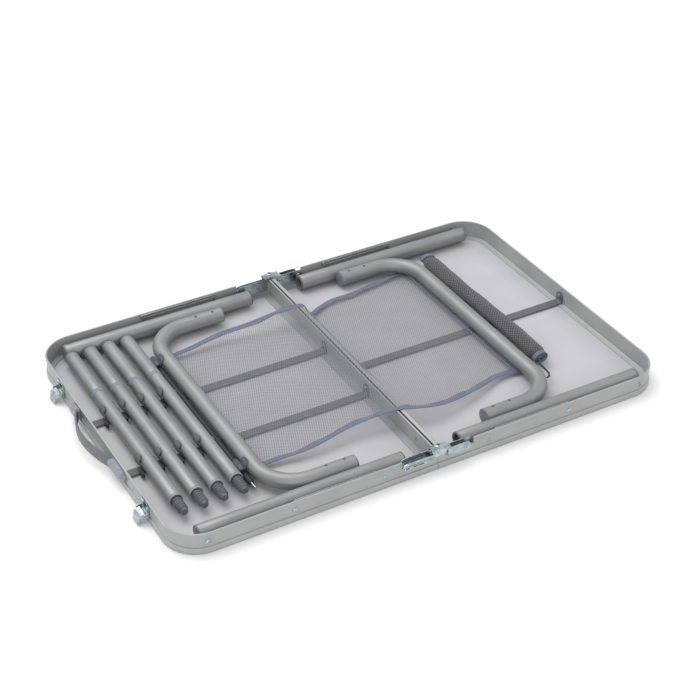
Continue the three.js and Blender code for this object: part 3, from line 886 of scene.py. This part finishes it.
def latch(end_name):
    """A toggle latch: a base plate with a hook and two ears, and a lever plate that hangs from them."""
    low, high = span(f"latch_base_{end_name}")
    y = (low.y + high.y) / 2
    face = high.x
    plate_line = [(face - 0.9, y, low.z), (face - 0.9, y, high.z + 1)]
    plate = strip(plate_line, 2, 13.5, (3, 5), 1.4, (0, 1, 0))
    ears = [ribbon([(face - 1, y + w * 12.9, low.z + 3.5), (low.x - 1.6, y + w * 12.9, low.z + 3.5)],
                   [4.2, 3.0], 1.3, (0, 0, 1))
            for w in (-1, 1)]
    hook_line = [(face - 1.5, y, high.z - 7), (face - 4.2, y, high.z - 5), (face - 4.8, y, high.z - 0.5),
                 (face - 3.6, y, high.z + 0.6)]
    hook = strip(hook_line, 1.5, 5, (None, 2.5), 1.3, (0, 1, 0))
    heads = [rivet((face - 1.6, y + w * 8.5, high.z - 8), (-1, 0, 0), 2.4, 1.0) for w in (-1, 1)]
    build(f"latch_base_{end_name}_plate", [plate, hook] + ears + heads, "zinc", "left_half",
          f"latch_base_{end_name}", bevel=0.2)

    place = joint_place(f"latch_{end_name}_swing")
    hx, hz = place[0] / MM - SEAM_X, place[2] / MM
    low, high = span(f"latch_lever_{end_name}")
    outline = [(hx + 0.6, y, hz + 1.9), (hx - 2.2, y, hz + 1.6), (hx - 5.5, y, hz + 0.6),
               (low.x + 3.2, y, hz - 0.6), (low.x + 2.2, y, hz - 2.4),
               (low.x + 1.2, y, low.z + 2.2), (low.x + 0.7, y, low.z + 0.6), (low.x - 0.9, y, low.z - 0.4)]
    path = outline
    plate = strip(path, 1.2, 10.0, (None, 2.5), 1.5, (0, 1, 0))
    barrel = turned([(0, -12.0), (2, -12.0), (2, 12.0), (0, 12.0)], (hx, y, hz), "y", 20)
    rib_low = (low.x - 0.1, y - 6, low.z + 4)
    rib = rounded_box(rib_low, (low.x + 2.4, y + 6, hz - 4), 1.0)
    build(f"latch_lever_{end_name}_plate", [plate, barrel, rib], "zinc", f"latch_lever_{end_name}",
          f"latch_lever_{end_name}", bevel=0.2)


def keeper(end_name):
    """The catch plate on the other half that a latch hooks on."""
    name = f"latch_keeper_{end_name}"
    low, high = span(name)
    y = (low.y + high.y) / 2
    face = low.x
    path = [(face + 0.8, y, low.z), (face + 0.8, y, low.z + 11), (face + 1.6, y, low.z + 12.6),
            (high.x - 1.4, y, low.z + 13), (high.x - 0.8, y, low.z + 14),
            (high.x - 0.8, y, high.z - 2)]
    plate = strip(path, 1.5, 12, (4, 3), 1.4, (0, 1, 0))
    back = ribbon([(face + 0.8, y, low.z + 10), (face + 0.8, y, high.z)], [12, 12], 1.4, (0, 1, 0))
    heads = [rivet((face + 1.4, y + w * 7, low.z + 5), (1, 0, 0), 2.6, 1.1) for w in (-1, 1)]
    build(f"{name}_plate", [plate, back] + heads, "zinc", "right_half", name, bevel=0.2)


# ---------------------------------------------------------------- storage net


def smooth_step(a, b, x):
    """Eases from 0 at a to 1 at b."""
    t = min(max((x - a) / (b - a), 0.0), 1.0)
    return t * t * (3 - 2 * t)


NET_END = 258
NET_FOOT = 250  # where the net starts to rise to the rails
RAIL_TOP_Z = 36.6
LOW_Z = 9.4
RAIL_DROP = [(8, 36.6), (11, 35), (14, 30), (18, 20), (24, 12), (34, 9.4), (60, 9.0), (160, 9.3),
             (258, 9.5)]
# Each edge of the slack net: its place at the left end, how far it drifts outwards to the right end,
# and its lazy folds as (where along the table, how long, how far outwards), all in millimetres.
NET_EDGES = {
    "front": (-152, 0, [(-150, 50, -8), (65, 75, -22), (210, 45, 14)]),
    "back": (174, 42, [(-140, 40, 6), (18, 18, -10), (78, 25, 6)]),
}
NET_ACROSS = 72


def net_edge(end_name, x):
    """Where the net's front or back edge lies across the table, x along it from the seam."""
    start, drift, folds = NET_EDGES[end_name]
    wander = sum(push * math.exp(-((x - place) / reach) ** 2) for place, reach, push in folds)
    return start + drift * max(0.0, x) / NET_END + wander


def straight(knots, x):
    """A value between (x, value) knots joined by straight lines."""
    for (xa, ya), (xb, yb) in zip(knots, knots[1:]):
        if x <= xb:
            return ya + (yb - ya) * max(0.0, (x - xa) / (xb - xa))
    return knots[-1][1]


def net_height(x, v):
    """The net's height: v is 0 at the front edge, which is taut, and 1 at the back, which drops off the
    rail."""
    rise = RAIL_TOP_Z - LOW_Z
    if x <= RAIL_DROP[0][0]:
        s = min(max((x + NET_FOOT) / (NET_FOOT - 6), 0.0), 1.0)
        height = LOW_Z + rise * s ** 1.12 - 4.0 * math.sin(math.pi * s) * math.sin(math.pi * v)
    else:
        taut = RAIL_TOP_Z - rise * min(1.0, (x - 8) / 225) ** 0.9
        height = taut + (straight(RAIL_DROP, x) - taut) * smooth_step(0.06, 0.42, v)
    edge = 1 - smooth_step(0, 0.2, v) * smooth_step(0, 0.2, 1 - v)
    return height - 2.2 * edge * smooth_step(218, 236, abs(x))


def net_surface():
    """The slack net as rows across the table, each with its distance along the cloth and its points in mm."""
    stations = [-NET_END + 6 * i for i in range(41)] + [-13, -9, -5, -1, 3, 7, 9.5, 12, 14, 16, 18, 21, 25,
                                                        30, 36]
    stations += [42 + 6 * i for i in range(37)]
    rows = []
    distance, previous = 0.0, None
    for x in stations:
        front, back = net_edge("front", x), net_edge("back", x)
        row = []
        for j in range(NET_ACROSS + 1):
            v = j / NET_ACROSS
            y = front + (back - front) * v
            slack = math.sqrt(max(0.0, math.sin(math.pi * v)))
            free = smooth_step(0, 34, abs(x)) * smooth_step(NET_END, NET_END - 40, abs(x))
            ripple = 2.4 * noise.noise(Vector((x * 0.012, y * 0.03, 1.7)))
            ripple += 1.8 * noise.noise(Vector((x * 0.03 + y * 0.02, y * 0.014, 8.1)))
            if x > 30:
                ripple = 1.5 * abs(ripple) + 2.5 * max(0.0, noise.noise(Vector((x * 0.02 - y * 0.03,
                                                                                y * 0.04, 4.4))))
            z = net_height(x, v) + free * ripple * slack
            over_bar = 8.7 if 0.06 < v < 0.94 else 6.6
            row.append((x, y, max(z, over_bar)))
        centre = Vector(row[NET_ACROSS // 2])
        distance += (centre - previous).length if previous else 0.0
        previous = centre
        rows.append((distance, row))
    return rows


def net_patch(name, rows):
    """One stretch of the net, as a thin sheet with its binding."""
    points, faces, uv = [], [], []
    for s, row in rows:
        for x, y, z in row:
            points.append((x, y, z))
            uv.append((s * MM, y * MM))
    count = NET_ACROSS + 1
    for i in range(len(rows) - 1):
        for j in range(NET_ACROSS):
            a = i * count + j
            faces.append([a, a + count, a + count + 1, a + 1])
    piece = build(name, [(points, faces)], "net", None, smooth=180, uv=uv, fix_normals=False)
    binding = net_binding(f"{name}_binding", rows)
    for cloth in (piece, binding):
        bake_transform(cloth)
    return piece


def net_binding(name, rows):
    """The tape folded over the net's front and back edges."""
    shells = []
    for column in (0, NET_ACROSS):
        neighbour = 1 if column == 0 else NET_ACROSS - 1
        rings = []
        for i, (s, row) in enumerate(rows):
            edge, inside = Vector(row[column]), Vector(row[neighbour])
            into = (inside - edge).normalized()
            before = Vector(rows[max(i - 1, 0)][1][column])
            after = Vector(rows[min(i + 1, len(rows) - 1)][1][column])
            along = (after - before).normalized()
            lift = along.cross(into).normalized()
            if lift.z < 0:
                lift = -lift
            if abs(lift.z) < 0.2 and lift.x < 0 and edge.x > 0:
                lift = -lift
            twist = 0.5 * noise.noise(Vector((s * 0.03, column, 2.0)))
            wide = into * math.cos(twist) + lift * math.sin(twist)
            up = lift * math.cos(twist) - into * math.sin(twist)
            ring = []
            for a, b in ((-1.2, 0), (-0.9, 0.8), (0.5, 1.0), (4.4, 0.85), (8.6, 0.6), (8.9, 0.0),
                         (8.6, -0.3), (4.4, -0.4), (0.5, -0.45), (-0.9, -0.35)):
                ring.append(edge + wide * a + up * b)
            rings.append(ring)
        shells.append(skin(rings))
    return build(name, shells, "tape", None, smooth=60)


def storage_net():
    """The net as three joined parts, and the hem that each crossbar carries."""
    rows = net_surface()
    place = [row[0][0] for _, row in rows]
    last_left, first_right = place.index(-24), place.index(36)
    net_patch("net_left_part", rows[:last_left + 1])
    net_patch("net_middle_part", rows[last_left:first_right + 1])
    net_patch("net_right_part", rows[first_right:])
    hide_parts("net_left")
    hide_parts("net_right")
    for side_name, side in SIDES.items():
        x = side * 230.6
        front, back = net_edge("front", x), net_edge("back", x)
        line = [(x, front + (back - front) * i / 24, 10.6 + 0.3 * math.sin(i)) for i in range(25)]
        build(f"net_hem_{side_name}", [sweep(circle(1.3, 10), line)], "tape", f"{side_name}_leg_frame")


def net_hardware():
    """The net's rod and sleeve on the left crossbar with its two clips, and the roll on the right one."""
    low, high = span("net_rod")
    x, z = (low.x + high.x) / 2, (low.z + high.z) / 2
    radius = (high.z - low.z) / 2
    rings = []
    for i in range(61):
        t = i / 60
        y = low.y + 14 + (high.y - low.y - 14) * t
        swell = 1 + 0.10 * noise.noise(Vector((0, y * 0.06, 3.3)))
        flat = [(radius * 1.12 * swell * px, radius * 0.92 * swell * pz) for px, pz in circle(1, 20)]
        rings.append([(x + px, y, z + pz) for px, pz in flat])
    build("net_sleeve", [skin(rings)], "black_rubber", "left_leg_frame", "net_rod")
    rod = turned([(0, low.y), (1.6, low.y), (2.0, low.y + 0.6), (2.0, high.y), (0, high.y)], (x, 0, z), "y",
                 20)
    build("net_rod_steel", [rod], "steel", "left_leg_frame")
    for end_name in ENDS:
        butterfly_clip(end_name, x, z + radius)
    net_roll()


def butterfly_clip(end_name, rod_x, rod_top):
    """A plastic spring clip over the rod, with two round ears that rise beside the crossbar."""
    name = f"net_clip_{end_name}"
    low, high = span(name)
    y = (low.y + high.y) / 2
    shells = []
    saddle = [(rod_x - 6, y, rod_top - 6), (rod_x - 5.4, y, rod_top - 1)]
    saddle += [(rod_x + px, y, rod_top - 2.5 + pz) for px, pz in arc((0, 0), 5.2, 170, 60, 8)]
    saddle += [(rod_x + 4.2, y, rod_top + 4.5), (rod_x + 6.0, y, rod_top + 9.5),
               (rod_x + 9.5, y, rod_top + 14)]
    path = saddle
    shells.append(strip(path, 1.6, 9, (4, 6), 1.8, (0, 1, 0)))
    for way in (-1, 1):
        ear = [(rod_x - 1, y + way * 3, rod_top + 1.5),
               (rod_x - 3.5, y + way * 8.5, rod_top + 4.5),
               (rod_x - 5.0, y + way * 12.5, rod_top + 8)]
        shells.append(strip(ear, 1.5, 4.6, (None, 4.4), 1.8, (0.9, 0, 0.45)))
    build(f"{name}_butterfly", shells, "dark_plastic", "left_leg_frame", name, bevel=0.4)


def net_roll():
    """The spare net rolled up behind the right crossbar: a lumpy roll with bound ends."""
    low, high = span("net_roll")
    cx, cz = (low.x + high.x) / 2, (low.z + high.z) / 2
    half_x, half_z = (high.x - low.x) / 2 - 0.6, (high.z - low.z) / 2
    rings, uv = [], []
    turns, steps = 48, 96
    for i in range(steps + 1):
        t = i / steps
        y = low.y + (high.y - low.y) * t
        pinch = min(1.0, 0.72 + 0.28 * smooth_step(0, 0.05, t)) * min(1.0,
                                                                      0.72 + 0.28 * smooth_step(1, 0.95, t))
        drift = 2.0 * math.sin(t * 5.0 + 0.6)
        ring = []
        for j in range(turns):
            a = 2 * math.pi * j / turns
            lump = 1 + 0.10 * noise.noise(Vector((math.cos(a) * 1.2, y * 0.025, math.sin(a) * 1.2)))
            fold = 1 + 0.035 * math.sin(3 * a + y * 0.03) - 0.05 * max(0, math.cos(a - 2.2)) ** 8
            ring.append((cx + drift + half_x * pinch * lump * fold * math.cos(a), y,
                         cz + half_z * pinch * lump * fold * math.sin(a)))
            uv.append((a * half_x * MM, y * MM))
        rings.append(ring)
    points, faces = skin(rings)
    roll = build("net_roll_cloth", [(points, faces)], "net_roll", "right_leg_frame", "net_roll", smooth=180,
                 uv=uv, fix_normals=False)
    shells = []
    for end, y in ((-1, low.y), (1, high.y)):
        spiral = []
        for i in range(90):
            a = i / 89 * math.pi * 5
            r = 0.25 + 0.9 * (i / 89)
            spiral.append((cx + half_x * 0.8 * r * math.cos(a), y + end * (0.8 + 0.5 * math.sin(a * 1.3)),
                           cz + half_z * 0.8 * r * math.sin(a)))
        shells.append(sweep([(-1.0, -3.4), (1.0, -3.4), (1.1, 0), (1.0, 3.4), (-1.0, 3.4), (-1.1, 0)],
                            spiral, up=(0, 1, 0)))
    build("net_roll_bound_ends", shells, "tape", "right_leg_frame")
    hook = [(cx - 10, low.y + 18, cz - 2), (cx - 10, low.y - 8, cz - 2), (cx - 10, low.y - 30, cz - 3),
            (cx - 11, low.y - 40, cz - 3),
            (cx - 14, low.y - 46, cz - 4), (cx - 19, low.y - 47, cz - 5)]
    build("net_roll_wire", [sweep(circle(1.5, 12), along_path(hook, 3), up=(0, 0, 1))], "black_rubber",
          "right_leg_frame")


# ---------------------------------------------------------------- stage, light and camera


FLOOR_REACH = 14.0
FLOOR_GAP = 0.0004
SOFTBOXES = {  # place and size in metres, power in watts
    "key_softbox": ((-0.6, 1.2, 2.8), 2.4, 48),
    "front_softbox": ((-1.4, -2.4, 1.2), 1.8, 13),
    "side_softbox": ((2.4, -0.6, 1.8), 1.4, 6),
}
CAMERA_AZIMUTH, CAMERA_ELEVATION = -29.5, 34.9
CAMERA_DISTANCE = 2.553
CAMERA_LENS = 82.0
CAMERA_AIM = (0.0053, 0.0395)  # how far right and up of the seam's middle the camera looks, in metres


def stage():
    """The pale floor, the even light of the room and three softboxes."""
    mesh = bpy.data.meshes.new("floor")
    corners = [(x * FLOOR_REACH, y * FLOOR_REACH, 0) for x, y in ((-1, -1), (1, -1), (1, 1), (-1, 1))]
    mesh.from_pydata(corners, [], [(0, 1, 2, 3)])
    mesh.materials.append(studio_floor())
    floor = in_scene("floor", mesh)
    floor.location.z = -FLOOR_GAP

    world = bpy.data.worlds.new("soft_room")
    world.use_nodes = True
    background = world.node_tree.nodes["Background"]
    background.inputs["Color"].default_value = colour("#f8f8f9")
    background.inputs["Strength"].default_value = 0.85
    bpy.context.scene.world = world
    for name, (place, size, power) in SOFTBOXES.items():
        lamp = bpy.data.lights.new(name, "AREA")
        lamp.energy = power
        lamp.size = size
        holder = in_scene(name, lamp)
        holder.location = place
        holder.rotation_euler = (-Vector(place)).to_track_quat("-Z", "Y").to_euler()


def camera():
    """A long lens from the front left and above."""
    azimuth, elevation = math.radians(CAMERA_AZIMUTH), math.radians(CAMERA_ELEVATION)
    level = math.cos(elevation)
    back = Vector((math.sin(azimuth) * level, -math.cos(azimuth) * level, math.sin(elevation)))
    right = Vector((math.cos(azimuth), math.sin(azimuth), 0))
    up = back.cross(right)
    data = bpy.data.cameras.new("camera")
    data.lens = CAMERA_LENS
    data.clip_end = 50
    holder = in_scene("camera", data)
    aim = Vector((SEAM_X * MM, 0, 0)) + right * CAMERA_AIM[0] + up * CAMERA_AIM[1]
    turn = Matrix((right, up, back)).transposed().to_4x4()
    holder.matrix_world = Matrix.Translation(aim + back * CAMERA_DISTANCE) @ turn
    bpy.context.scene.camera = holder


# ---------------------------------------------------------------- assembly

camera()
stage()
for side_name in SIDES:
    rim(side_name)
    centre_rail(side_name)
    rim_rivets(side_name)
    crossbar(side_name)
    for end_name in ENDS:
        leg_tube(side_name, end_name)
        for level in ("lower", "upper"):
            stay_link(side_name, end_name, level)
    panel = frame["nodes"][f"{side_name}_panel"]
    panel.data.materials.clear()
    panel.data.materials.append(FINISH["panel"])
for end_name in ENDS:
    bar(f"left_bar_{end_name}", "left_half")
    spring_clips(f"clip_strip_{end_name}")
    hinge(end_name)
    latch(end_name)
    keeper(end_name)
bar("right_bar", "right_half")
handle()
for index in range(1, 5):
    extension_leg(index)
storage_net()
net_hardware()

bpy.context.scene.view_settings.view_transform = "Standard"
